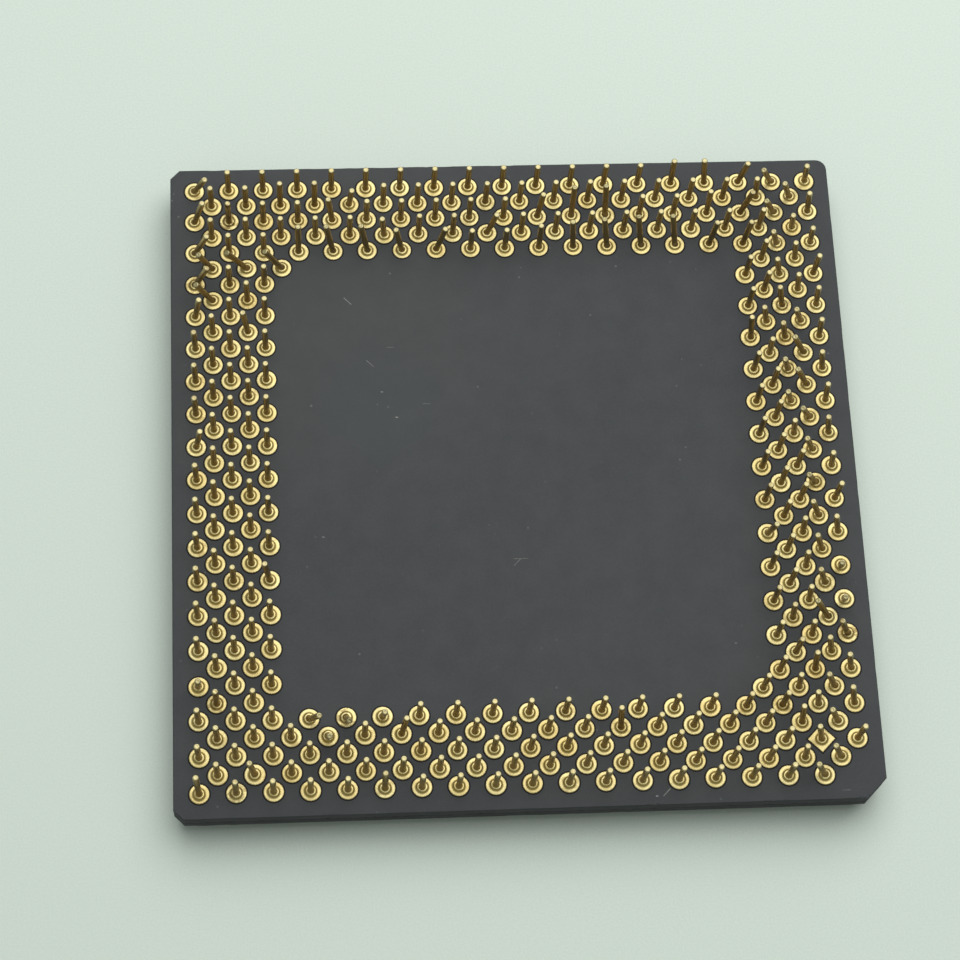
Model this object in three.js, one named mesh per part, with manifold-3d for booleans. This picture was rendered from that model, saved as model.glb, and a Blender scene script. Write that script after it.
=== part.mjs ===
// Desktop processor in a ceramic pin grid package, standing on its metal lid with the pins up.
// Millimetres. Z is up. The origin is the centre of the lid's outer plateau face.
// Pin rows are lettered A (at -Y) to AN (at +Y), pin columns numbered 1 (at +X) to 37 (at -X).
import * as THREE from 'three';
import { mergeVertices } from 'three/addons/utils/BufferGeometryUtils.js';
import Module from 'manifold-3d';

const wasm = await Module();
wasm.setup();

// Ceramic body
const BODY_SIZE = 49.28;
const BODY_THICK = 1.86;
const BODY_RIM = 0.15;
const INDEX_CHAMFER = 1.4;
const PLAIN_CHAMFER = 0.68;
const BODY_CORNER_RADIUS = 0.8;

// Stepped lid: a square plateau that takes the heat sink, and a wider flange glued to the body
const FLANGE_SIZE = 45.0;
const PLATEAU_SIZE = 32.0;
const LID_HEIGHT = 1.31;
const PLATEAU_HEIGHT = 0.65;
const LID_CORNER_RADIUS = 1.6;
const LID_BEVEL = 0.12;
const CAVITY_SIZE = 29.6;
const CAVITY_CORNER_RADIUS = 1.2;
const LID_ROOF = 0.55;
const SEAL_THICK = 0.1;
const SEAL_OUTER_SIZE = 44.4;
const SEAL_INNER_SIZE = 36.0;

// Silicon and the parts around it, under the lid
const DIE_LENGTH = 10.0;
const DIE_WIDTH = 8.2;
const DIE_THICK = 0.65;
const BUMP_HEIGHT = 0.1;
const BUMP_FIELD_INSET = 0.3;
const FILLET_WIDTH = 0.7;
const FILLET_CLIMB = 0.42;
const PASTE_INSET = 0.2;
const CAPACITOR_LENGTH = 2.0;
const CAPACITOR_WIDTH = 1.25;
const CAPACITOR_HEIGHT = 0.7;
const CAPACITOR_OFFSET = 9.4;
const CAPACITOR_SPREAD = 3.2;

// Pins: 37 by 37 staggered positions, five deep along every side
const GRID_LINES = 37;
const GRID_STEP = 1.27;
const BANK_DEPTH = 5;
const LAND_RADIUS = 0.76;
const LAND_THICK = 0.04;
const LAND_SIDES = 8;
const KEY_LAND_REACH = 1.02;
const TIE_HALF_WIDTH = 0.06;
const PIN_RADIUS = 0.23;
const PIN_LENGTH = 3.15;
const PIN_SIDES = 6;
const KEY_PIN = 'C3';
const MISSING_PIN = 'A1';
const INNER_PINS = ['AH32', 'F6'];

// Heights of the stack
const SEAL_BASE = LID_HEIGHT;
const BODY_BASE = SEAL_BASE + SEAL_THICK;
const BODY_TOP = BODY_BASE + BODY_THICK;
const DIE_TOP = BODY_BASE - BUMP_HEIGHT;
const DIE_BASE = DIE_TOP - DIE_THICK;

const ROW_LETTERS = (
  'A B C D E F G H J K L M N P Q R S T U V W X Y Z '
  + 'AA AB AC AD AE AF AG AH AJ AK AL AM AN'
).split(' ');

// Handling damage: how far each bent pin's tip has moved sideways, along X and along Y.
// Every pin not listed stands straight.
const BENT_PINS = [
  [0.9, -0.5, 'AN37'],
  [0.7, 0.1, 'AL37'],
  [1.0, 0.0, 'AJ37 AG37'],
  [0.4, 0.0, 'AE37 W37 AN5'],
  [-0.9, -0.2, 'AH36'],
  [-1.1, 0.0, 'AF36 AB2 Z2'],
  [-1.4, 0.0, 'AH34'],
  [-1.2, 0.0, 'AH32'],
  [-0.3, 0.2, 'AD34 N33 AL29'],
  [0.0, 0.6, 'AJ31'],
  [-0.5, 0.6, 'AJ29 AJ27'],
  [-0.5, 0.2, 'AJ25'],
  [0.6, 0.2, 'AJ23 AL5'],
  [0.0, 0.3, 'AM32 AM30 AJ17 A27 AN9 AL7'],
  [-0.2, 0.6, 'AJ15 D14'],
  [-0.4, 0.8, 'AJ13'],
  [-0.4, 1.0, 'AJ11 AJ9'],
  [0.3, 0.3, 'AJ7 AJ5 AL17 D26'],
  [0.2, -0.4, 'AM28 Q5'],
  [-0.2, -0.2, 'AK26 AB4'],
  [0.6, 0.0, 'AK20'],
  [0.1, 0.9, 'AL15'],
  [-0.1, 1.0, 'AL13'],
  [-0.3, 0.3, 'AN7 AC5 G3 D4'],
  [-1.0, -0.5, 'AN3 AL3 X2 T2'],
  [-0.3, -0.3, 'AN1 AJ1'],
  [-0.3, 0.0, 'AM4 AL1 AE1 AC1 Y1 Q3 N3 L3 J3 B4 B34 K4 F4'],
  [-0.8, -0.4, 'AM2 AD2'],
  [-0.4, -0.5, 'AK2'],
  [-0.7, -0.5, 'AJ3 AA3 Y3'],
  [-0.4, -0.2, 'AH2 AF2 W3 U1'],
  [-0.6, -0.2, 'AG3 AC3 AD4'],
  [-0.6, 0.1, 'AE3 Q1 H2 G1 C3'],
  [-0.5, 0.0, 'AA1 W1 E3'],
  [-0.9, 0.0, 'R2 J1 F2 D2 B2 A3'],
  [-0.9, -0.3, 'V2'],
  [-0.8, 0.0, 'P2 M2'],
  [-0.5, -0.8, 'N1 L1'],
  [-1.2, 0.3, 'K2'],
  [-0.6, 0.3, 'E1'],
  [0.1, -0.5, 'E27 G37'],
  [0.2, -1.0, 'E29'],
  [0.1, -0.8, 'D30'],
  [0.7, -0.6, 'E31'],
  [-0.1, 0.4, 'A37'],
];

const GOLD = { color: 0xd9be73, roughness: 0.3, metalness: 1.0 };

function solidOf(geometry) {
  const bare = geometry.clone();
  bare.deleteAttribute('normal');
  bare.deleteAttribute('uv');
  const merged = mergeVertices(bare, 1e-5);
  return new wasm.Manifold(new wasm.Mesh({
    numProp: 3,
    vertProperties: new Float32Array(merged.attributes.position.array),
    triVerts: new Uint32Array(merged.index.array),
  }));
}

function geometryOf(solid) {
  const mesh = solid.getMesh();
  const geometry = new THREE.BufferGeometry();
  geometry.setAttribute('position', new THREE.BufferAttribute(mesh.vertProperties, 3));
  geometry.setIndex(new THREE.BufferAttribute(mesh.triVerts, 1));
  geometry.computeVertexNormals();
  return geometry;
}

function namedMesh(name, geometry, look) {
  const mesh = new THREE.Mesh(geometry, new THREE.MeshStandardMaterial(look));
  mesh.name = name;
  return mesh;
}

// A square outline with rounded corners, centred on the axis
function squareOutline(size, radius) {
  const half = size / 2;
  const shape = new THREE.Shape();
  shape.moveTo(half, half - radius);
  shape.absarc(half - radius, half - radius, radius, 0, Math.PI / 2);
  shape.absarc(radius - half, half - radius, radius, Math.PI / 2, Math.PI);
  shape.absarc(radius - half, radius - half, radius, Math.PI, 1.5 * Math.PI);
  shape.absarc(half - radius, radius - half, radius, 1.5 * Math.PI, 2 * Math.PI);
  return shape;
}

// The body outline: index chamfer at (+X, -Y), small chamfers at -X, a rounded corner at (+X, +Y)
function bodyOutline(inset) {
  const half = BODY_SIZE / 2 - inset;
  const radius = BODY_CORNER_RADIUS;
  const shape = new THREE.Shape();
  shape.moveTo(half, half - radius);
  shape.absarc(half - radius, half - radius, radius, 0, Math.PI / 2);
  shape.lineTo(PLAIN_CHAMFER - half, half);
  shape.lineTo(-half, half - PLAIN_CHAMFER);
  shape.lineTo(-half, PLAIN_CHAMFER - half);
  shape.lineTo(PLAIN_CHAMFER - half, -half);
  shape.lineTo(half - INDEX_CHAMFER, -half);
  shape.lineTo(half, INDEX_CHAMFER - half);
  return shape;
}

function slab(shape, base, top, curveSegments = 4) {
  const depth = top - base;
  const geometry = new THREE.ExtrudeGeometry(shape, { depth, bevelEnabled: false, curveSegments });
  return geometry.translate(0, 0, base);
}

// A slab whose two outer edges are chamfered; the outline is drawn short by the chamfer
function bevelledSlab(shape, base, top, bevel) {
  const geometry = new THREE.ExtrudeGeometry(shape, {
    depth: top - base - 2 * bevel,
    bevelEnabled: true,
    bevelThickness: bevel,
    bevelSize: bevel,
    bevelSegments: 1,
    curveSegments: 4,
  });
  return geometry.translate(0, 0, base + bevel);
}

function box(length, width, base, top, x = 0, y = 0) {
  const geometry = new THREE.BoxGeometry(length, width, top - base);
  return geometry.translate(x, y, (base + top) / 2);
}

function ceramicSubstrate() {
  const geometry = bevelledSlab(bodyOutline(BODY_RIM), BODY_BASE, BODY_TOP, BODY_RIM);
  const look = { color: 0x4e4e50, roughness: 0.85, metalness: 0.0 };
  return namedMesh('ceramic_substrate', geometryOf(solidOf(geometry)), look);
}

function heatSpreaderLid() {
  const plateauShape = squareOutline(PLATEAU_SIZE - 2 * LID_BEVEL, LID_CORNER_RADIUS);
  const flangeShape = squareOutline(FLANGE_SIZE - 2 * LID_BEVEL, LID_CORNER_RADIUS);
  const cavityShape = squareOutline(CAVITY_SIZE, CAVITY_CORNER_RADIUS);
  const plateau = solidOf(bevelledSlab(plateauShape, 0, PLATEAU_HEIGHT + 2 * LID_BEVEL, LID_BEVEL));
  const flange = solidOf(bevelledSlab(flangeShape, PLATEAU_HEIGHT, LID_HEIGHT, LID_BEVEL));
  const cavity = solidOf(slab(cavityShape, LID_ROOF, LID_HEIGHT + 1));
  const lid = plateau.add(flange).subtract(cavity);
  const look = { color: 0xb9babb, roughness: 0.35, metalness: 1.0 };
  return namedMesh('heat_spreader_lid', geometryOf(lid), look);
}

function lidSeal() {
  const outer = slab(squareOutline(SEAL_OUTER_SIZE, LID_CORNER_RADIUS), SEAL_BASE, BODY_BASE);
  const innerShape = squareOutline(SEAL_INNER_SIZE, LID_CORNER_RADIUS);
  const inner = slab(innerShape, SEAL_BASE - 1, BODY_BASE + 1);
  const look = { color: 0x232323, roughness: 0.7, metalness: 0.0 };
  return namedMesh('lid_seal', geometryOf(solidOf(outer).subtract(solidOf(inner))), look);
}

function thermalPaste() {
  const length = DIE_LENGTH - 2 * PASTE_INSET;
  const width = DIE_WIDTH - 2 * PASTE_INSET;
  const look = { color: 0xcfcfca, roughness: 0.9, metalness: 0.0 };
  return namedMesh('thermal_paste', box(length, width, LID_ROOF, DIE_BASE), look);
}

function siliconDie() {
  const look = { color: 0x3c4250, roughness: 0.15, metalness: 0.3 };
  return namedMesh('silicon_die', box(DIE_LENGTH, DIE_WIDTH, DIE_BASE, DIE_TOP), look);
}

function solderBumpLayer() {
  const length = DIE_LENGTH - 2 * BUMP_FIELD_INSET;
  const width = DIE_WIDTH - 2 * BUMP_FIELD_INSET;
  const look = { color: 0x9fa1a3, roughness: 0.4, metalness: 1.0 };
  return namedMesh('solder_bump_layer', box(length, width, DIE_TOP, BODY_BASE), look);
}

// Epoxy between die and body: a sloped fillet around the die that also rings the bump field
function dieUnderfill() {
  const skirt = new THREE.CylinderGeometry(1, 1, BUMP_HEIGHT + FILLET_CLIMB, 4, 1);
  skirt.rotateY(Math.PI / 4);
  skirt.rotateX(Math.PI / 2);
  const middle = BODY_BASE - (BUMP_HEIGHT + FILLET_CLIMB) / 2;
  const spot = skirt.attributes.position;
  for (let i = 0; i < spot.count; i += 1) {
    const reach = spot.getZ(i) > 0 ? FILLET_WIDTH : 0.05;
    const signX = Math.sign(Math.round(spot.getX(i) * 10));
    const signY = Math.sign(Math.round(spot.getY(i) * 10));
    spot.setX(i, signX * (DIE_LENGTH / 2 + reach));
    spot.setY(i, signY * (DIE_WIDTH / 2 + reach));
  }
  skirt.translate(0, 0, middle);
  const die = solidOf(box(DIE_LENGTH, DIE_WIDTH, DIE_BASE - 1, DIE_TOP));
  const bumpLength = DIE_LENGTH - 2 * BUMP_FIELD_INSET;
  const bumpWidth = DIE_WIDTH - 2 * BUMP_FIELD_INSET;
  const bumps = solidOf(box(bumpLength, bumpWidth, DIE_TOP - 0.01, BODY_BASE + 1));
  const look = { color: 0x1d2530, roughness: 0.5, metalness: 0.0 };
  return namedMesh('die_underfill', geometryOf(solidOf(skirt).subtract(die).subtract(bumps)), look);
}

// Two capacitors on each side of the die, hanging from the body
function decouplingCapacitors() {
  const capacitors = [];
  for (let side = 0; side < 4; side += 1) {
    for (const slide of [-CAPACITOR_SPREAD, CAPACITOR_SPREAD]) {
      const brick = box(CAPACITOR_LENGTH, CAPACITOR_WIDTH, BODY_BASE - CAPACITOR_HEIGHT, BODY_BASE);
      brick.translate(slide, -CAPACITOR_OFFSET, 0);
      brick.rotateZ(side * Math.PI / 2);
      const look = { color: 0x8a6f52, roughness: 0.6, metalness: 0.1 };
      capacitors.push(namedMesh(`decoupling_capacitor_${capacitors.length + 1}`, brick, look));
    }
  }
  return capacitors;
}

function pinName(row, column) {
  return ROW_LETTERS[row] + (column + 1);
}

// Row 0 is A at -Y; column 0 is 1 at +X
function pinSpot(row, column) {
  const middle = (GRID_LINES - 1) / 2;
  return new THREE.Vector2((middle - column) * GRID_STEP, (row - middle) * GRID_STEP);
}

function pinLean(name) {
  const entry = BENT_PINS.find(([, , names]) => names.split(' ').includes(name));
  return entry ? new THREE.Vector2(entry[0], entry[1]) : new THREE.Vector2(0, 0);
}

// Rim of a gold land, anticlockwise around the pin. The land is round, except for the diamond that
// marks the key pin. Two points stand for one corner wherever the plating tie line joins.
function landRim(name, joinsNext, joinsPrevious) {
  const isKey = name === KEY_PIN;
  const radius = isKey ? KEY_LAND_REACH : LAND_RADIUS;
  const sides = isKey ? 4 : LAND_SIDES;
  const turn = 2 * Math.PI / sides;
  const neck = radius - TIE_HALF_WIDTH * (1 - Math.cos(turn)) / Math.sin(turn);
  const corner = (k) => [radius * Math.cos(k * turn), radius * Math.sin(k * turn)];
  const points = [joinsNext ? [neck, TIE_HALF_WIDTH] : corner(0)];
  for (let k = 1; k < sides; k += 1) {
    if (k === sides / 2 && joinsPrevious) {
      points.push([-neck, TIE_HALF_WIDTH], [-neck, -TIE_HALF_WIDTH]);
    } else {
      points.push(corner(k));
    }
  }
  if (joinsNext) {
    points.push([neck, -TIE_HALF_WIDTH]);
  }
  return points;
}

function isNeck(a, b) {
  return a[0] === b[0] && Math.abs(a[1]) === TIE_HALF_WIDTH && Math.abs(b[1]) === TIE_HALF_WIDTH;
}

function addQuad(corners, a, b, c, d) {
  corners.push(a, b, c, a, c, d);
}

// A flat patch seen from above as `rim` less `hole`; facing up, or down when `isUnderside`
function addPatch(corners, rim, hole, isUnderside) {
  const flat = (points) => points.map((point) => new THREE.Vector2(point.x, point.y));
  const all = [...rim, ...hole];
  const faces = THREE.ShapeUtils.triangulateShape(flat(rim), hole.length ? [flat(hole)] : []);
  for (const [a, b, c] of faces) {
    corners.push(all[a], ...(isUnderside ? [all[c], all[b]] : [all[b], all[c]]));
  }
}

// The straight or bent shaft, from its ring on the land to a tip cut square to its own axis
function addShaft(corners, foot, lean) {
  const rise = Math.sqrt(PIN_LENGTH ** 2 - lean.lengthSq());
  const axis = new THREE.Vector3(lean.x, lean.y, rise).normalize();
  const tilt = new THREE.Quaternion().setFromUnitVectors(new THREE.Vector3(0, 0, 1), axis);
  const tip = new THREE.Vector3(foot.x + lean.x, foot.y + lean.y, BODY_TOP + rise);
  const tipRing = shaftRing().map((point) => point.applyQuaternion(tilt).add(tip));
  for (let k = 0; k < PIN_SIDES; k += 1) {
    const next = (k + 1) % PIN_SIDES;
    addQuad(corners, foot.ring[k], foot.ring[next], tipRing[next], tipRing[k]);
  }
  addPatch(corners, tipRing, [], false);
}

function shaftRing() {
  return [...Array(PIN_SIDES).keys()].map((k) => {
    const angle = 2 * Math.PI * k / PIN_SIDES;
    return new THREE.Vector3(PIN_RADIUS * Math.cos(angle), PIN_RADIUS * Math.sin(angle), 0);
  });
}

// One land with its shaft. `place` turns a rim point and a height into a point of the part.
function addPin(corners, spot, name, rim, place) {
  const top = rim.map((point) => place(spot, point, BODY_TOP + LAND_THICK));
  const bottom = rim.map((point) => place(spot, point, BODY_TOP));
  const footCentre = new THREE.Vector3(spot.x, spot.y, BODY_TOP + LAND_THICK);
  const ring = shaftRing().map((point) => point.add(footCentre));
  rim.forEach((point, i) => {
    const next = (i + 1) % rim.length;
    if (!isNeck(point, rim[next])) {
      addQuad(corners, bottom[i], bottom[next], top[next], top[i]);
    }
  });
  addPatch(corners, bottom, [], true);
  addPatch(corners, top, ring, false);
  addShaft(corners, { x: spot.x, y: spot.y, ring }, pinLean(name));
}

// The stretch of plating tie line between two lands
function addTie(corners, from, to, place) {
  const neck = to.rim.findIndex((point, i) => i > 0 && isNeck(to.rim[i - 1], point));
  const ends = [
    place(from.spot, from.rim[from.rim.length - 1], 0),
    place(to.spot, to.rim[neck], 0),
    place(to.spot, to.rim[neck - 1], 0),
    place(from.spot, from.rim[0], 0),
  ];
  const bottom = ends.map((point) => point.clone().setZ(BODY_TOP));
  const top = ends.map((point) => point.clone().setZ(BODY_TOP + LAND_THICK));
  addQuad(corners, top[0], top[1], top[2], top[3]);
  addQuad(corners, bottom[3], bottom[2], bottom[1], bottom[0]);
  addQuad(corners, bottom[0], bottom[1], top[1], top[0]);
  addQuad(corners, bottom[2], bottom[3], top[3], top[2]);
}

// A bank of pins on one line of the grid, listed along +X or along +Y
function pinBank(name, places, alongY = false) {
  const place = (spot, [u, v], height) => (
    new THREE.Vector3(spot.x + (alongY ? -v : u), spot.y + (alongY ? u : v), height)
  );
  const corners = [];
  const pins = places.map(([row, column], i) => {
    const label = pinName(row, column);
    return { label, spot: pinSpot(row, column), rim: landRim(label, i < places.length - 1, i > 0) };
  });
  pins.forEach((pin, i) => {
    addPin(corners, pin.spot, pin.label, pin.rim, place);
    if (i > 0) {
      addTie(corners, pins[i - 1], pin, place);
    }
  });
  const geometry = new THREE.BufferGeometry().setFromPoints(corners);
  return namedMesh(name, geometryOf(solidOf(geometry)), GOLD);
}

function isPopulated(row, column) {
  return (row + column) % 2 === 0 && pinName(row, column) !== MISSING_PIN;
}

// Full-width rows at the two Y ends, then the columns that close the frame at the two X ends
function pinBanks() {
  const lines = [...Array(GRID_LINES).keys()];
  const far = GRID_LINES - BANK_DEPTH;
  const outer = lines.filter((line) => line < BANK_DEPTH || line >= far);
  const inner = lines.filter((line) => line >= BANK_DEPTH && line < far);
  const rows = outer.map((row) => {
    const columns = lines.filter((column) => isPopulated(row, column)).reverse();
    return pinBank(`pin_row_${ROW_LETTERS[row]}`, columns.map((column) => [row, column]));
  });
  const columns = outer.map((column) => {
    const places = inner.filter((row) => isPopulated(row, column)).map((row) => [row, column]);
    return pinBank(`pin_column_${column + 1}`, places, true);
  });
  return [...rows, ...columns];
}

// The two pins that stand alone just inside two corners of the frame
function innerPins() {
  return INNER_PINS.map((name) => {
    const letter = name.replace(/\d+/, '');
    const place = [ROW_LETTERS.indexOf(letter), Number(name.replace(letter, '')) - 1];
    return pinBank(`pin_${name}`, [place]);
  });
}

const group = new THREE.Group();
group.name = 'cpu_processor';
group.add(ceramicSubstrate());
group.add(heatSpreaderLid());
group.add(lidSeal());
group.add(thermalPaste());
group.add(siliconDie());
group.add(dieUnderfill());
group.add(solderBumpLayer());
group.add(...decouplingCapacitors());
group.add(...pinBanks());
group.add(...innerPins());

export default group;
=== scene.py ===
"""Looks for a ceramic pin grid processor that stands on its lid with the pins up.

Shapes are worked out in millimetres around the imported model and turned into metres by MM.
Materials work in metres, because they read object coordinates.
"""
import math
import random

import bpy
from mathutils import Matrix, Quaternion, Vector, noise


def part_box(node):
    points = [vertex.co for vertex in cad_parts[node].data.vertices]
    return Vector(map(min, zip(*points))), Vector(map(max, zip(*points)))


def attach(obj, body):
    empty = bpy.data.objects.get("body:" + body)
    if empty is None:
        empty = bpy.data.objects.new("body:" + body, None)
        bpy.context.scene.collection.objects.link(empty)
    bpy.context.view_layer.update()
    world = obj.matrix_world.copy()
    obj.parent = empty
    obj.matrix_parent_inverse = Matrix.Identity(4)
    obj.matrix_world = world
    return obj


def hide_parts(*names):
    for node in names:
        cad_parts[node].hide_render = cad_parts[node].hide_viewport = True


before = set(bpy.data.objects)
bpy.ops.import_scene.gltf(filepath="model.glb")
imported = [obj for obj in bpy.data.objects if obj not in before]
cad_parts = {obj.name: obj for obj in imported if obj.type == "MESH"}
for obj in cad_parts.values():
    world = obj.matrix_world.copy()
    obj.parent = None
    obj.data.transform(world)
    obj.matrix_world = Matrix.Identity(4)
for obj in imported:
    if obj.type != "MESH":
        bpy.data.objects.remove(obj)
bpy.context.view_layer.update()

MM = 0.001
QUARTER_TURN = math.pi / 2
UP = Vector((0, 0, 1))
UPRIGHT = Quaternion()

# The camera at the photograph's angle: place in mm, heading from +Y towards +X, tilt below the
# horizon, roll, and lens in mm on a 36 mm frame
CAMERA_PLACE = Vector((-14.40, -66.04, 181.20))
CAMERA_HEADING = math.radians(10.17)
CAMERA_TILT = math.radians(69.478)
CAMERA_ROLL = math.radians(8.13)
CAMERA_LENS = 99.36

# Ceramic body, in mm
BODY_SPACING = 0.2  # between the points of its outline
INDEX_CHAMFER = 1.4
PLAIN_CHAMFER = 0.68
CORNER_RADIUS = 0.8
CORNER_STEPS = 5
TOP_RIM_RADIUS = 0.07
BASE_RIM_RADIUS = 0.06
SEAM_DEPTH = 0.035  # of the groove round the side wall, at half height
WALL_DENTS = 0.05  # how far the side wall's dents go in
FACE_SCALES = [0.2, 0.5, 0.8, 0.94, 0.975]  # rings on a face, as shares of the outline

# Lid and seal, in mm
PLATEAU_SIZE = 32.0
PLATEAU_HEIGHT = 0.65
CAVITY_SIZE = 29.6
LID_ROOF = 0.55
LID_CORNER_STEPS = 6
SEAL_WIDTH = 4.1
SEAL_SPACING = 0.4  # between the points of its outline

# Pin grid, in mm
GRID_STEP = 1.27
CENTRE_COLUMN = 19
CENTRE_ROW = 18
LAND_THICKNESS = 0.04  # of the CAD model's lands
LAND_RADIUS = 0.698
LAND_INNER_RADIUS = 0.55  # within it, the key pin's land is round too
KEY_PIN = "C3"
KEY_LAND_REACH = 0.98


# ---------------------------------------------------------------- node helpers

class Shader:
    """A material's node tree, with short calls for the nodes used here."""

    def __init__(self, name):
        self.material = bpy.data.materials.new(name)
        self.material.use_nodes = True
        self.tree = self.material.node_tree
        self.bsdf = self.tree.nodes["Principled BSDF"]
        self.place = self.add("ShaderNodeTexCoord").outputs["Object"]

    def add(self, kind, **settings):
        node = self.tree.nodes.new(kind)
        for key, value in settings.items():
            setattr(node, key, value)
        return node

    def feed(self, socket, value):
        """Links another node's output to a socket, or sets the socket's own value."""
        if isinstance(value, bpy.types.NodeSocket):
            self.tree.links.new(value, socket)
        else:
            socket.default_value = value

    def noise(self, scale, detail=4.0, roughness=0.55, place=None):
        node = self.add("ShaderNodeTexNoise")
        self.feed(node.inputs["Vector"], place or self.place)
        node.inputs["Scale"].default_value = scale
        node.inputs["Detail"].default_value = detail
        node.inputs["Roughness"].default_value = roughness
        return node.outputs["Fac"]

    def cells(self, scale):
        """Distance from the nearest of many scattered points."""
        node = self.add("ShaderNodeTexVoronoi")
        self.feed(node.inputs["Vector"], self.place)
        node.inputs["Scale"].default_value = scale
        return node.outputs["Distance"]

    def math(self, operation, a, b=0.0, c=0.0, clamp=False):
        node = self.add("ShaderNodeMath", operation=operation, use_clamp=clamp)
        for socket, value in zip(node.inputs, (a, b, c)):
            self.feed(socket, value)
        return node.outputs[0]

    def times(self, a, b):
        return self.math("MULTIPLY", a, b)

    def plus(self, a, b):
        return self.math("ADD", a, b)

    def vector(self, operation, a, b=(0.0, 0.0, 0.0)):
        """A vector node's result, a plain number for the operations that give one."""
        node = self.add("ShaderNodeVectorMath", operation=operation)
        self.feed(node.inputs[0], a)
        self.feed(node.inputs[1], b)
        gives_number = operation in ("DOT_PRODUCT", "DISTANCE", "LENGTH")
        return node.outputs["Value" if gives_number else "Vector"]

    def span(self, value, low, high, to_low=0.0, to_high=1.0):
        """A smooth step from to_low to to_high as the value goes from low to high."""
        node = self.add("ShaderNodeMapRange", interpolation_type="SMOOTHSTEP")
        for socket, item in zip(node.inputs, (value, low, high, to_low, to_high)):
            self.feed(socket, item)
        return node.outputs[0]

    def mix(self, factor, a, b):
        node = self.add("ShaderNodeMix", data_type="RGBA")
        self.feed(node.inputs["Factor"], factor)
        self.feed(node.inputs["A"], a)
        self.feed(node.inputs["B"], b)
        return node.outputs["Result"]

    def attribute(self, name):
        return self.add("ShaderNodeAttribute", attribute_name=name).outputs["Fac"]

    def finish(self, colour, roughness, height, distance, strength=0.5, metallic=0.0, specular=0.5):
        """Feeds the surface; distance is how deep the bump goes, in metres."""
        self.feed(self.bsdf.inputs["Base Color"], colour)
        self.feed(self.bsdf.inputs["Roughness"], roughness)
        self.bsdf.inputs["Metallic"].default_value = metallic
        self.bsdf.inputs["Specular IOR Level"].default_value = specular
        bump = self.add("ShaderNodeBump")
        bump.inputs["Strength"].default_value = strength
        bump.inputs["Distance"].default_value = distance
        self.feed(bump.inputs["Height"], height)
        self.feed(self.bsdf.inputs["Normal"], bump.outputs["Normal"])
        return self.material


def rgb(red, green, blue):
    """A colour given as 0 to 255 display values, as the linear RGBA that nodes take."""
    def linear(value):
        value /= 255
        return value / 12.92 if value <= 0.04045 else ((value + 0.055) / 1.055) ** 2.4
    return (linear(red), linear(green), linear(blue), 1.0)


# ---------------------------------------------------------------- materials

# Fine scratches on the pin side, placed to the nearest half millimetre:
# start, end, half width (mm), brightness
SCRATCHES = [
    ((-12.0, 14.0), (-11.5, 13.5), 0.05, 0.34),
    ((-10.5, 9.0), (-10.0, 8.5), 0.05, 0.22),
    ((-9.0, 10.0), (-8.5, 10.0), 0.03, 0.18),
    ((-6.5, 5.5), (-6.0, 5.5), 0.03, 0.2),
    ((-0.5, -7.0), (0.0, -6.5), 0.05, 0.22),
    ((-0.5, -6.5), (0.5, -6.5), 0.04, 0.16),
    ((9.0, -24.0), (9.5, -23.5), 0.05, 0.36),
    ((21.5, -24.0), (22.0, -24.0), 0.04, 0.2),
]
# Specks, placed in the same way: start, half width (mm), brightness
SPECKS = [
    ((-9.5, 6.5), 0.06, 0.3),
    ((-8.5, 4.5), 0.08, 0.36),
    ((-14.0, -4.5), 0.06, 0.28),
    ((8.5, -24.0), 0.07, 0.5),
]
SPECK_LENGTH = 0.1

# Larger chips along the top rim and the base rim: place, width and depth, in mm
RIM_CHIPS = [((23.0, -24.5), 0.5, 0.22), ((8.5, -24.5), 0.3, 0.16), ((-24.5, 12.0), 0.4, 0.12)]
BASE_CHIPS = [((23.0, -24.5), 0.6, 0.2)]

# A dull green smudge on the pin side, and the centre of a wide pale patch of painted light there,
# in metres
SMUDGE_PLACE = (-0.0098, 0.0056, 0.00327)
PAINTED_LIGHT_PLACE = (-0.012, 0.011, 0.00327)


def scratch_mask(s, start, end, half_width, brightness):
    """The brightness along a broken line between two points of the top face, and 0 elsewhere."""
    a = Vector((*start, 0)) * MM
    along = Vector((*end, 0)) * MM - a
    flat = s.vector("MULTIPLY", s.place, (1.0, 1.0, 0.0))
    offset = s.vector("SUBTRACT", flat, tuple(a))
    progress = s.vector("DOT_PRODUCT", offset, tuple(along))
    reach = s.math("DIVIDE", progress, along.length_squared, clamp=True)
    nearest = s.add("ShaderNodeVectorMath", operation="SCALE")
    nearest.inputs[0].default_value = tuple(along)
    s.feed(nearest.inputs["Scale"], reach)
    gap = s.vector("LENGTH", s.vector("SUBTRACT", offset, nearest.outputs[0]))
    width = s.times(s.noise(2600.0, 2.0), half_width * MM * 1.6)
    line = s.span(gap, s.times(width, 0.4), width, 1.0, 0.0)
    return s.times(line, brightness)


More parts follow.
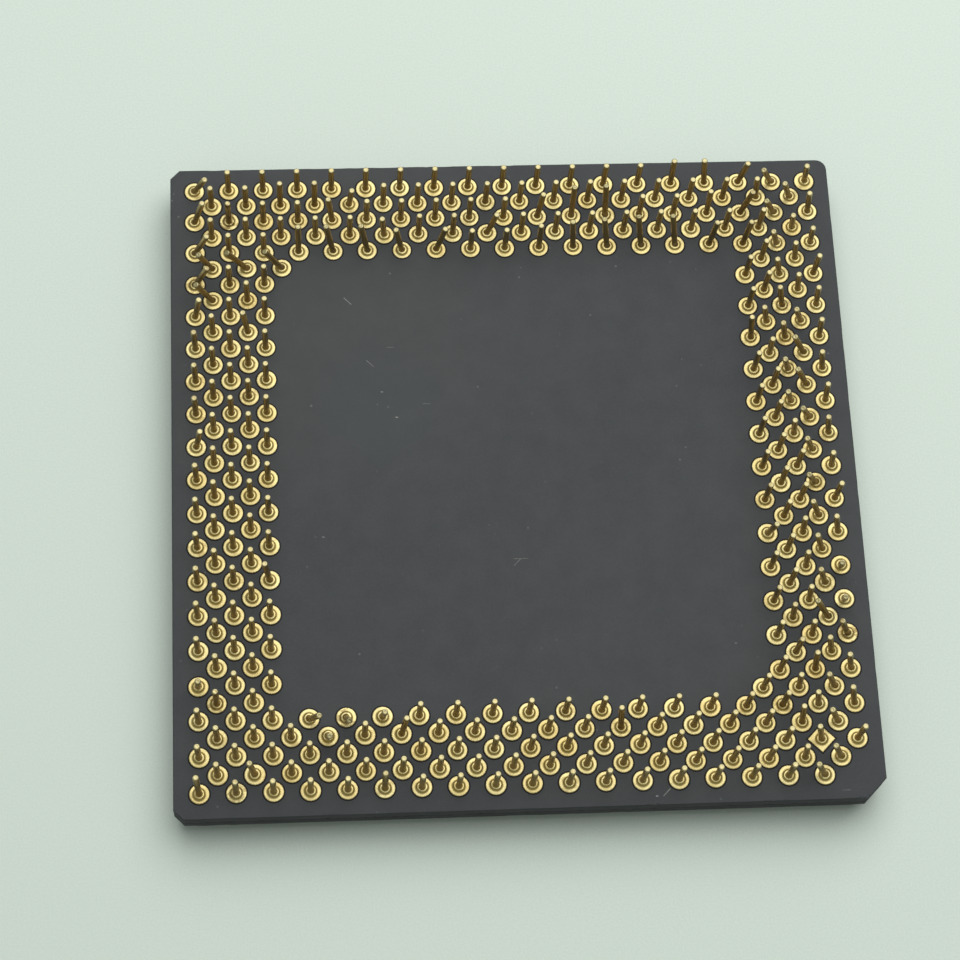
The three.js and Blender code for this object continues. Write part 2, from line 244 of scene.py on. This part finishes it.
def ceramic_material():
    s = Shader("fired_alumina")
    broad = s.noise(90.0, 3.0, 0.5)
    cloud = s.noise(520.0, 5.0, 0.6)
    grain = s.noise(6500.0, 3.0, 0.6)
    colour = s.mix(s.span(broad, 0.35, 0.65), rgb(55, 57, 60), rgb(57, 59, 61))
    colour = s.mix(s.span(cloud, 0.3, 0.75, 0.0, 0.15), colour, rgb(51, 53, 56))
    colour = s.mix(s.span(grain, 0.35, 0.7, 0.0, 0.3), colour, rgb(66, 68, 70))
    smudge = s.span(s.vector("DISTANCE", s.place, SMUDGE_PLACE), 0.002, 0.0055, 1.0, 0.0)
    smudge = s.times(smudge, s.span(cloud, 0.4, 0.6, 0.2, 0.6))
    colour = s.mix(smudge, colour, rgb(52, 63, 64))
    # Painted light: a wide paler patch on the pin side, fading out from its centre
    painted_light = s.span(s.vector("DISTANCE", s.place, PAINTED_LIGHT_PLACE), 0.003, 0.018, 0.5, 0.0)
    colour = s.mix(painted_light, colour, rgb(65, 66, 67))
    fleck = s.span(s.cells(900.0), 0.05, 0.1, 1.0, 0.0)
    fleck = s.times(fleck, s.span(s.noise(300.0, 2.0), 0.52, 0.62, 0.0, 0.5))
    colour = s.mix(fleck, colour, rgb(110, 112, 112))
    specks = [((x, y), (x + SPECK_LENGTH, y), *rest) for (x, y), *rest in SPECKS]
    light = 0.0
    for mark in SCRATCHES + specks:
        light = s.math("MAXIMUM", light, scratch_mask(s, *mark))
    colour = s.mix(light, colour, rgb(180, 180, 176))
    # Painted shade: the side wall and base face darker than the pin side
    colour = s.mix(s.attribute("side"), colour, rgb(42, 42, 45))
    chip = s.times(s.attribute("chip"), s.span(grain, 0.35, 0.6, 0.1, 1.0))
    colour = s.mix(chip, colour, rgb(104, 106, 108))
    roughness = s.span(cloud, 0.2, 0.8, 0.57, 0.65)
    height = s.plus(s.times(grain, 0.6), s.times(s.noise(1800.0, 4.0), 0.7))
    return s.finish(colour, roughness, height, distance=0.000012, strength=0.6, specular=0.25)


def gold_material():
    s = Shader("gold_plating")
    broad = s.noise(420.0, 3.0)
    patch = s.noise(2300.0, 4.0, 0.6)
    fine = s.noise(9000.0, 3.0)
    shaft = s.attribute("shaft")
    colour = s.mix(s.span(broad, 0.3, 0.7), rgb(188, 172, 120), rgb(196, 184, 134))
    colour = s.mix(s.times(s.attribute("tone"), 0.3), colour, rgb(178, 154, 92))
    colour = s.mix(s.span(patch, 0.5, 0.75, 0.0, 0.3), colour, rgb(176, 154, 92))
    # Painted shade: the braze fillet's steep slope darker and more olive
    braze = s.times(s.attribute("braze"), s.span(patch, 0.2, 0.7, 0.7, 1.0))
    colour = s.mix(braze, colour, rgb(172, 146, 74))
    # Painted shade: a browner, darker tone up the shaft, deepest at its foot by the nail head
    colour = s.mix(shaft, colour, rgb(182, 154, 102))
    wear = s.times(s.attribute("wear"), s.span(fine, 0.25, 0.7, 0.7, 1.0))
    colour = s.mix(wear, colour, rgb(158, 150, 114))
    stain = s.times(s.attribute("stain"), s.span(patch, 0.46, 0.58))
    colour = s.mix(stain, colour, rgb(96, 72, 36))
    roughness = s.plus(s.span(patch, 0.2, 0.8, 0.37, 0.48), s.times(shaft, -0.14))
    height = s.plus(s.times(patch, 0.8), s.times(fine, 0.35))
    return s.finish(colour, roughness, height, distance=0.00001, metallic=0.9)


def land_edge_shade_material():
    # Painted shade: a near-black skirt round each land, where it meets the ceramic
    s = Shader("painted_land_edge_shade")
    cloud = s.noise(3000.0, 3.0)
    colour = s.mix(s.span(cloud, 0.3, 0.7), rgb(15, 12, 7), rgb(26, 21, 12))
    roughness = s.span(cloud, 0.3, 0.7, 0.5, 0.65)
    return s.finish(colour, roughness, cloud, distance=0.000006, specular=0.3)


def nickel_material():
    s = Shader("satin_nickel_plate")
    streak = s.noise(4200.0, 3.0, place=s.vector("MULTIPLY", s.place, (1.0, 0.06, 1.0)))
    broad = s.noise(120.0, 4.0)
    stain = s.noise(340.0, 5.0, 0.65)
    colour = s.mix(s.span(broad, 0.3, 0.7), rgb(186, 187, 188), rgb(204, 204, 203))
    colour = s.mix(s.span(stain, 0.55, 0.75, 0.0, 0.35), colour, rgb(158, 154, 146))
    roughness = s.plus(s.span(streak, 0.3, 0.7, 0.26, 0.4), s.span(stain, 0.5, 0.8, 0.0, 0.1))
    height = s.plus(s.times(streak, 0.7), s.times(broad, 0.4))
    return s.finish(colour, roughness, height, distance=0.000008, strength=0.4, metallic=1.0)


def plain_material(name, dark, light, scale, smooth, rough, metallic=0.0):
    """A quiet two-tone material for the parts under the lid."""
    s = Shader(name)
    cloud = s.noise(scale, 5.0, 0.6)
    fine = s.noise(scale * 6.0, 3.0)
    colour = s.mix(s.span(cloud, 0.3, 0.7), rgb(*dark), rgb(*light))
    roughness = s.span(fine, 0.3, 0.7, smooth, rough)
    return s.finish(colour, roughness, fine, distance=0.00001, metallic=metallic)


# ---------------------------------------------------------------- mesh helpers

def add_object(name, data):
    item = bpy.data.objects.new(name, data)
    bpy.context.scene.collection.objects.link(item)
    return item


def make_piece(name, points, faces, materials, face_slots=None, values=None):
    """A smooth mesh object from points in mm, with per-point float attributes."""
    mesh = bpy.data.meshes.new(name)
    mesh.from_pydata([Vector(p) * MM for p in points], [], faces)
    for material in materials:
        mesh.materials.append(material)
    if face_slots:
        mesh.polygons.foreach_set("material_index", face_slots)
    for key, numbers in (values or {}).items():
        mesh.attributes.new(key, "FLOAT", "POINT").data.foreach_set("value", numbers)
    mesh.polygons.foreach_set("use_smooth", [True] * len(mesh.polygons))
    mesh.update()
    return add_object(name, mesh)


def join_rings(count, rings, closed=True):
    """Faces between rings of `count` points each, numbered ring after ring, and n-gon ends."""
    faces = []
    for ring in range(rings - 1):
        a, b = ring * count, (ring + 1) * count
        for k in range(count):
            n = (k + 1) % count
            faces.append((a + k, a + n, b + n, b + k))
    if closed:
        faces.append(tuple(reversed(range(count))))
        faces.append(tuple(range((rings - 1) * count, rings * count)))
    return faces


def resampled(corners, spacing, easings=0):
    """Evenly spaced points round a closed polygon, with its corners eased a number of times."""
    points = []
    for i, a in enumerate(corners):
        b = corners[(i + 1) % len(corners)]
        steps = max(1, round((b - a).length / spacing))
        points += [a.lerp(b, k / steps) for k in range(steps)]
    for _ in range(easings):
        points = [
            points[i - 1] * 0.25 + points[i] * 0.5 + points[(i + 1) % len(points)] * 0.25
            for i in range(len(points))
        ]
    return points


def outward(points):
    """Unit outward directions of an anticlockwise outline."""
    out = []
    for i in range(len(points)):
        along = points[(i + 1) % len(points)] - points[i - 1]
        out.append(Vector((along.y, -along.x)).normalized())
    return out


def arc(centre, radius, start, steps):
    """Points of an anticlockwise quarter circle."""
    angles = [start + QUARTER_TURN * k / steps for k in range(steps + 1)]
    return [centre + radius * Vector((math.cos(angle), math.sin(angle))) for angle in angles]


def rounded_square(size, radius):
    reach = size / 2 - radius
    points = []
    for turn, corner in enumerate([(1, 1), (-1, 1), (-1, -1), (1, -1)]):
        points += arc(Vector(corner) * reach, radius, QUARTER_TURN * turn, LID_CORNER_STEPS)
    return points


# ---------------------------------------------------------------- ceramic body

def body_corners(half):
    """The body's outline, anticlockwise from the rounded corner; the index corner comes last."""
    cut, index = PLAIN_CHAMFER, INDEX_CHAMFER
    centre = half - CORNER_RADIUS
    points = arc(Vector((centre, centre)), CORNER_RADIUS, 0.0, CORNER_STEPS)
    points += [Vector((cut - half, half)), Vector((-half, half - cut))]
    points += [Vector((-half, cut - half)), Vector((cut - half, -half))]
    points += [Vector((half - index, -half)), Vector((half, index - half))]
    return points


def chip_depths(outline, seed, number, deepest, placed):
    """How deep the rim is chipped at each outline point: placed chips, and seeded scallops."""
    rng = random.Random(seed)
    count = len(outline)
    depths = [0.0] * count
    for spot, width, depth in placed:
        for i, point in enumerate(outline):
            gap = (point - Vector(spot)).length / width
            depths[i] = max(depths[i], depth * math.sqrt(max(0.0, 1 - gap ** 2)))
    for _ in range(number):
        centre, width = rng.uniform(0, count), rng.uniform(0.2, 1.1) / BODY_SPACING
        depth = deepest * rng.random() ** 2.2
        for step in range(-int(width), int(width) + 1):
            i = int(centre + step) % count
            bowl = math.sqrt(max(0.0, 1 - (step / width) ** 2))
            depths[i] = max(depths[i], depth * bowl)
    return depths


def ceramic_body():
    low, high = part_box("ceramic_substrate")
    base, top = low.z / MM, high.z / MM
    outline = resampled(body_corners(high.x / MM), BODY_SPACING)
    normals = outward(outline)
    count = len(outline)
    top_chips = chip_depths(outline, seed=3, number=90, deepest=0.09, placed=RIM_CHIPS)
    base_chips = chip_depths(outline, seed=8, number=60, deepest=0.2, placed=BASE_CHIPS)
    # side holds each point's share of painted shade, 0 on the pin side and 1 on the side wall and
    # base
    points, chip, side = [], [], []

    def ring(insets, heights, chips, side_shade, dents=0.0):
        """One ring: each point has its own inset, height and chip, and dents take it further in."""
        for spot, normal, inset, z, chipped in zip(outline, normals, insets, heights, chips):
            texture = noise.fractal(Vector((spot.x * 2.3, spot.y * 2.3, z * 3.1)), 0.7, 2.2, 4)
            place = spot - normal * (inset - min(0.0, dents * texture))
            points.append((place.x, place.y, z))
            chip.append(chipped)
            side.append(side_shade)

    def rim(edge, depths, radius, sign, steps):
        """The rounded, chipped rim between a face and the side wall."""
        for k in range(steps + 1):
            turn = QUARTER_TURN * (k / steps if sign > 0 else 1 - k / steps)
            insets = [(radius + d) * (1 - math.sin(turn)) for d in depths]
            heights = [edge - sign * (radius + d * 0.8) * (1 - math.cos(turn)) for d in depths]
            chips = [min(1.0, d * 4.0) * 0.5 * math.sin(2 * turn) for d in depths]
            ring(insets, heights, chips, min(1.0, max(0.0, turn / QUARTER_TURN * 1.5 - 0.3)))

    def centre_rings(height, scales, side_shade):
        """Rings that shrink towards the centre of a face, so that it shades flat."""
        for scale in scales:
            for spot in outline:
                points.append((spot.x * scale, spot.y * scale, height))
                chip.append(0.0)
                side.append(side_shade)

    centre_rings(top, FACE_SCALES, 0.0)
    rim(top, top_chips, TOP_RIM_RADIUS, 1, 5)
    for share in [0.8, 0.62, 0.53, 0.5, 0.47, 0.35, 0.2]:
        inset = SEAM_DEPTH if share == 0.5 else 0.0
        height = base + (top - base) * share
        ring([inset] * count, [height] * count, [0.0] * count, 1.0, WALL_DENTS)
    rim(base, base_chips, BASE_RIM_RADIUS, -1, 3)
    centre_rings(base, reversed(FACE_SCALES), 1.0)
    faces = [tuple(reversed(face)) for face in join_rings(count, len(points) // count)]
    values = {"chip": chip, "side": side}
    body = make_piece("ceramic_body", points, faces, [ceramic_material()], values=values)
    body.data.set_sharp_from_angle(angle=math.radians(35))
    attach(body, "root")
    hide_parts("ceramic_substrate")


# ---------------------------------------------------------------- lid and seal

def lid():
    """A turned square, from the middle of its outer face round to the roof of its cavity."""
    low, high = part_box("heat_spreader_lid")
    flange, top = (high.x - low.x) / MM, high.z / MM
    levels = [  # size, corner radius and height of each ring
        (PLATEAU_SIZE - 2.4, 0.9, 0.0),
        (PLATEAU_SIZE - 0.5, 1.55, 0.0),
        (PLATEAU_SIZE - 0.22, 1.6, 0.03),
        (PLATEAU_SIZE - 0.06, 1.7, 0.11),
        (PLATEAU_SIZE, 1.72, 0.24),
        (PLATEAU_SIZE + 0.02, 1.72, PLATEAU_HEIGHT - 0.16),
        (PLATEAU_SIZE + 0.10, 1.74, PLATEAU_HEIGHT - 0.06),
        (PLATEAU_SIZE + 0.34, 1.8, PLATEAU_HEIGHT),
        (PLATEAU_SIZE + 1.2, 2.0, PLATEAU_HEIGHT),
        (flange - 1.2, 1.5, PLATEAU_HEIGHT),
        (flange - 0.28, 1.66, PLATEAU_HEIGHT),
        (flange - 0.10, 1.72, PLATEAU_HEIGHT + 0.04),
        (flange, 1.75, PLATEAU_HEIGHT + 0.14),
        (flange, 1.75, top - 0.12),
        (flange - 0.08, 1.72, top - 0.03),
        (flange - 0.24, 1.66, top),
        (CAVITY_SIZE + 0.5, 1.4, top),
        (CAVITY_SIZE + 0.1, 1.3, top - 0.1),
        (CAVITY_SIZE, 1.2, LID_ROOF + 0.2),
        (CAVITY_SIZE - 0.3, 1.1, LID_ROOF),
        (CAVITY_SIZE - 2.0, 0.8, LID_ROOF),
    ]
    points = []
    for size, radius, height in levels:
        outline = rounded_square(size, radius)
        points += [(p.x, p.y, height) for p in outline]
    faces = join_rings(len(outline), len(levels))
    piece = make_piece("metal_lid", points, faces, [nickel_material()])
    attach(piece, "root")
    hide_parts("heat_spreader_lid")


def seal():
    """Adhesive bead squeezed out a little past the lid's flange, with a wandering edge."""
    low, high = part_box("lid_seal")
    base, top = low.z / MM, high.z / MM
    outer = resampled(rounded_square((high.x - low.x) / MM, 1.6), SEAL_SPACING, 1)
    directions = outward(outer)
    # how far out of the flange, and the share of the bead's height
    profile = [(-SEAL_WIDTH, 0.0), (0.0, 0.0), (0.16, 0.2), (0.2, 0.5)]
    profile += [(0.16, 0.8), (0.0, 1.0), (-SEAL_WIDTH, 1.0)]
    points = []
    for reach, share in profile:
        for spot, direction in zip(outer, directions):
            wander = noise.noise(Vector((spot.x * 0.35, spot.y * 0.35, 2.0)))
            shift = reach * (1 + 0.6 * wander) if reach > 0 else reach
            place = spot + direction * shift
            points.append((place.x, place.y, base + (top - base) * share))
    count = len(outer)
    last = (len(profile) - 1) * count
    faces = join_rings(count, len(profile), closed=False)
    for k in range(count):
        n = (k + 1) % count
        faces.append((last + k, last + n, n, k))  # closes the section along its inner wall
    material = plain_material("cured_adhesive", (30, 30, 31), (44, 43, 42), 700.0, 0.5, 0.75)
    piece = make_piece("seal_bead", points, faces, [material])
    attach(piece, "root")
    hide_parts("lid_seal")


# ---------------------------------------------------------------- pins

PIN_SEGMENTS = 20
# (radius, height above the body, braze, shaft) up the foot of one pin, in mm; braze and shaft weigh
# how much painted shade each ring takes
FOOT = [
    (0.800, 0.001, 0.0, 0.0),
    (0.750, 0.008, 0.0, 0.0),
    (0.702, 0.010, 0.0, 0.0),
    (0.698, 0.028, 0.0, 0.0),
    (0.682, 0.037, 0.0, 0.0),
    (0.620, 0.041, 0.0, 0.0),
    (0.560, 0.043, 0.0, 0.0),
    (0.515, 0.048, 0.2, 0.0),
    (0.475, 0.059, 0.4, 0.0),
    (0.438, 0.078, 0.7, 0.0),
    (0.402, 0.106, 0.9, 0.0),
    (0.370, 0.135, 0.9, 0.0),
    (0.346, 0.152, 0.5, 0.0),
    (0.325, 0.159, 0.0, 0.0),
    (0.270, 0.163, 0.0, 0.0),
    (0.240, 0.174, 0.2, 0.4),
    (0.222, 0.202, 0.0, 0.9),
    (0.217, 0.250, 0.0, 1.0),
]
LAND_SHADE_BANDS = 2  # the first bands of faces, a dark skirt of painted shade round the land
SHAFT_RADIUS = 0.216
SHAFT_HEIGHTS = [0.36, 0.7, 1.2, 1.8, 2.4]
BEND_START = 0.27  # height at which the shaft leaves the upright
BEND_LENGTH = 0.5
# (radius, distance below the tip, wear) round the cut end
TIP = [
    (0.216, 0.130, 0.1),
    (0.213, 0.055, 0.4),
    (0.196, 0.020, 0.9),
    (0.160, 0.004, 1.0),
    (0.105, 0.004, 0.9),
    (0.045, 0.014, 0.6),
]
# Pins with a brown stain, and how strong it is; a few others are given a faint one at random
STAINED_PINS = {"AL35": 0.7, "J1": 0.6, "E5": 0.5, "F36": 0.4, "A35": 0.4, "AG37": 0.4, "E29": 0.5}
ROW_LETTERS = (
    "A B C D E F G H J K L M N P Q R S T U V W X Y Z "
    "AA AB AC AD AE AF AG AH AJ AK AL AM AN"
).split()


def pins_of(node):
    """(foot, tip) of every pin in a CAD node, in mm, from the shafts' own corners."""
    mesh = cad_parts[node].data
    body_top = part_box("ceramic_substrate")[1].z
    feet_below, tips_above = body_top + 0.2 * MM, body_top + 1.2 * MM
    spots = [tuple(round(c, 6) for c in v.co) for v in mesh.vertices]
    near = {}
    for edge in mesh.edges:
        a, b = (spots[i] for i in edge.vertices)
        near.setdefault(a, set()).add(b)
        near.setdefault(b, set()).add(a)
    high = {s for s in near if s[2] > tips_above}
    found_pins = []
    while high:
        group, todo = set(), [high.pop()]
        while todo:
            spot = todo.pop()
            group.add(spot)
            found = near[spot] & high
            high -= found
            todo += found
        ring = {s for g in group for s in near[g] if s[2] < feet_below}
        tip = sum((Vector(s) for s in group), Vector()) / len(group)
        foot = sum((Vector(s) for s in ring), Vector()) / len(ring)
        found_pins.append((foot / MM, tip / MM))
    return sorted(found_pins, key=lambda pin: tuple(pin[0]))


def pin_name(foot):
    column = round(CENTRE_COLUMN - foot.x / GRID_STEP)
    row = round(foot.y / GRID_STEP) + CENTRE_ROW
    return f"{ROW_LETTERS[row]}{column}"


def land_reach(name, radius, angle):
    """Radius of the land at an angle: round, or a diamond under the key pin."""
    if name != KEY_PIN or radius < LAND_INNER_RADIUS:
        return radius
    diamond = KEY_LAND_REACH / (abs(math.cos(angle)) + abs(math.sin(angle)))
    return radius / LAND_RADIUS * max(diamond, 0.7)


class PinMesh:
    """Gathers the points and faces of all pins of one bank."""

    def __init__(self, seed):
        self.rng = random.Random(seed)
        self.points, self.faces, self.slots = [], [], []
        self.values = {key: [] for key in ("tone", "braze", "shaft", "wear", "stain")}

    def ring(self, centre, radii, tilt, marks):
        for k, radius in enumerate(radii):
            angle = 2 * math.pi * k / PIN_SEGMENTS
            offset = tilt @ Vector((radius * math.cos(angle), radius * math.sin(angle), 0))
            self.points.append(tuple(centre + offset))
            for key, value in marks.items():
                self.values[key].append(value)

    def add(self, foot, tip):
        rng = self.rng
        name = pin_name(foot)
        start = len(self.points)
        tone = rng.random() ** 1.6
        stain = STAINED_PINS.get(name, 0.22 if rng.random() < 0.12 else 0.0)
        off_centre = Vector((rng.gauss(0, 0.012), rng.gauss(0, 0.012), 0))
        squash = 1 + rng.gauss(0, 0.012)
        blob = [rng.uniform(-1, 1) for _ in range(3)]
        marks = {"tone": tone, "stain": stain, "wear": 0.0, "braze": 0.0}
        ground = foot.z - LAND_THICKNESS
        self.add_foot(name, foot, ground, off_centre, squash, blob, marks)
        self.add_shaft(Vector((foot.x, foot.y, ground)), tip, marks)
        faces = join_rings(PIN_SEGMENTS, len(FOOT) + len(SHAFT_HEIGHTS) + len(TIP))
        land_shade_faces = LAND_SHADE_BANDS * PIN_SEGMENTS
        self.faces += [tuple(start + i for i in face) for face in faces]
        self.slots += [1] * land_shade_faces + [0] * (len(faces) - land_shade_faces)

    def add_foot(self, name, foot, ground, off_centre, squash, blob, marks):
        """The land, a little off centre, a lumpy fillet of braze and the nail head."""
        for radius, height, braze, shaft in FOOT:
            inner = min(1.0, max(0.0, (0.5 - radius) / 0.25))
            centre = Vector((foot.x, foot.y, ground + height)) + off_centre * (1 - inner)
            radii = []
            for k in range(PIN_SEGMENTS):
                angle = 2 * math.pi * k / PIN_SEGMENTS
                reach = land_reach(name, radius * (squash if radius > 0.5 else 1.0), angle)
                if 0.3 < radius < 0.52:
                    lump = 0.014 * math.sin(angle + 3 * blob[0]) * blob[1]
                    reach += lump + 0.008 * math.sin(2 * angle + 3 * blob[2])
                radii.append(reach)
            self.ring(centre, radii, UPRIGHT, {**marks, "braze": braze, "shaft": shaft})

    def add_shaft(self, root, tip, marks):
        """The shaft, which turns from upright into its lean, and the worn tip."""
        axis = (tip - root).normalized()
        length = (tip - root).length
        lean = UP.rotation_difference(axis)
        for height in SHAFT_HEIGHTS:
            bend = min(1.0, (height - BEND_START) / BEND_LENGTH)
            tilt = UPRIGHT.slerp(lean, bend * bend * (3 - 2 * bend))
            radii = [SHAFT_RADIUS] * PIN_SEGMENTS
            # the shaft's painted shade fades with height
            self.ring(root + axis * height, radii, tilt, {**marks, "shaft": 1.0 - 0.12 * height})
        for radius, drop, wear in TIP:
            worn = {**marks, "wear": wear, "shaft": 0.6 - 0.6 * wear}
            self.ring(root + axis * (length - drop), [radius] * PIN_SEGMENTS, lean, worn)


def pins():
    materials = [gold_material(), land_edge_shade_material()]
    banks = sorted(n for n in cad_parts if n.startswith("pin_"))
    for seed, node in enumerate(banks, 11):
        mesh = PinMesh(seed)
        for foot, tip in pins_of(node):
            mesh.add(foot, tip)
        name = node.replace("pin_", "gold_pins_")
        piece = make_piece(name, mesh.points, mesh.faces, materials, mesh.slots, mesh.values)
        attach(piece, "root")
        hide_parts(node)


# ---------------------------------------------------------------- parts under the lid

# node: material, its dark and light tones, scale, smoothest and roughest, metallic
HIDDEN_LOOKS = {
    "silicon_die": ("polished_silicon", (52, 58, 70), (60, 66, 80), 500.0, 0.1, 0.2, 0.3),
    "die_underfill": ("underfill_epoxy", (26, 32, 40), (34, 41, 50), 900.0, 0.35, 0.5),
    "solder_bump_layer": ("bump_solder", (150, 152, 155), (172, 173, 175), 1500.0, 0.3, 0.5, 1.0),
    "thermal_paste": ("thermal_paste", (198, 198, 194), (212, 212, 208), 700.0, 0.7, 0.9),
}
CAPACITOR_LOOK = ("capacitor_ceramic", (128, 102, 74), (146, 120, 90), 1400.0, 0.5, 0.7)
CAPACITORS = 8


def hidden_parts():
    looks = {node: plain_material(*look) for node, look in HIDDEN_LOOKS.items()}
    capacitor = plain_material(*CAPACITOR_LOOK)
    for number in range(1, CAPACITORS + 1):
        looks[f"decoupling_capacitor_{number}"] = capacitor
    for node, material in looks.items():
        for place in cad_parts[node].material_slots:
            place.material = material


# ---------------------------------------------------------------- stage

def camera():
    tilt, heading = CAMERA_TILT, CAMERA_HEADING
    level = math.cos(tilt)
    ahead = Vector((level * math.sin(heading), level * math.cos(heading), -math.sin(tilt)))
    sideways = ahead.cross(UP).normalized()
    right = sideways * math.cos(CAMERA_ROLL) + sideways.cross(ahead) * math.sin(CAMERA_ROLL)
    up = right.cross(ahead)
    data = bpy.data.cameras.new("camera")
    data.lens = CAMERA_LENS
    data.clip_start, data.clip_end = 0.005, 10.0
    item = add_object("camera", data)
    turn = Matrix((right, up, -ahead)).transposed().to_4x4()
    item.matrix_world = Matrix.Translation(CAMERA_PLACE * MM) @ turn
    bpy.context.scene.camera = item


def floor():
    s = Shader("pale_table")
    cloud = s.noise(14.0, 4.0, 0.6)
    fine = s.noise(7000.0, 3.0, 0.6)
    colour = s.mix(s.span(cloud, 0.3, 0.7), rgb(203, 214, 204), rgb(207, 218, 209))
    colour = s.mix(s.span(fine, 0.3, 0.7, 0.0, 0.6), colour, rgb(190, 200, 192))
    away = s.vector("DOT_PRODUCT", s.place, (0.4, 0.9, 0.0))
    shade = s.math("MULTIPLY_ADD", away, -4.0, 0.3, clamp=True)
    colour = s.mix(shade, colour, rgb(186, 196, 187))
    roughness = s.span(cloud, 0.2, 0.8, 0.55, 0.7)
    material = s.finish(colour, roughness, fine, distance=0.00003, strength=0.2)
    reach = 1500.0
    points = [(-reach, -reach, 0), (reach, -reach, 0), (reach, reach, 0), (-reach, reach, 0)]
    piece = make_piece("table", points, [(0, 1, 2, 3)], [material])


def lighting():
    """One wide soft lamp above and behind the part, and a pale world."""
    data = bpy.data.lights.new("softbox", "AREA")
    data.shape = "DISK"
    data.size = 0.62
    data.energy = 2.5
    data.color = (1.0, 1.0, 0.99)
    place = Vector((0.07, 0.19, 0.4))
    lamp = add_object("softbox", data)
    lamp.location = place
    lamp.rotation_mode = "QUATERNION"
    lamp.rotation_quaternion = (-place).to_track_quat("-Z", "Y")
    lamp.visible_camera = False
    world = bpy.data.worlds.new("studio")
    bpy.context.scene.world = world
    world.use_nodes = True
    background = world.node_tree.nodes["Background"]
    background.inputs["Color"].default_value = (0.93, 1.0, 0.95, 1.0)
    background.inputs["Strength"].default_value = 0.37
    bpy.context.scene.view_settings.view_transform = "Standard"


camera()
floor()
lighting()
ceramic_body()
lid()
seal()
pins()
hidden_parts()
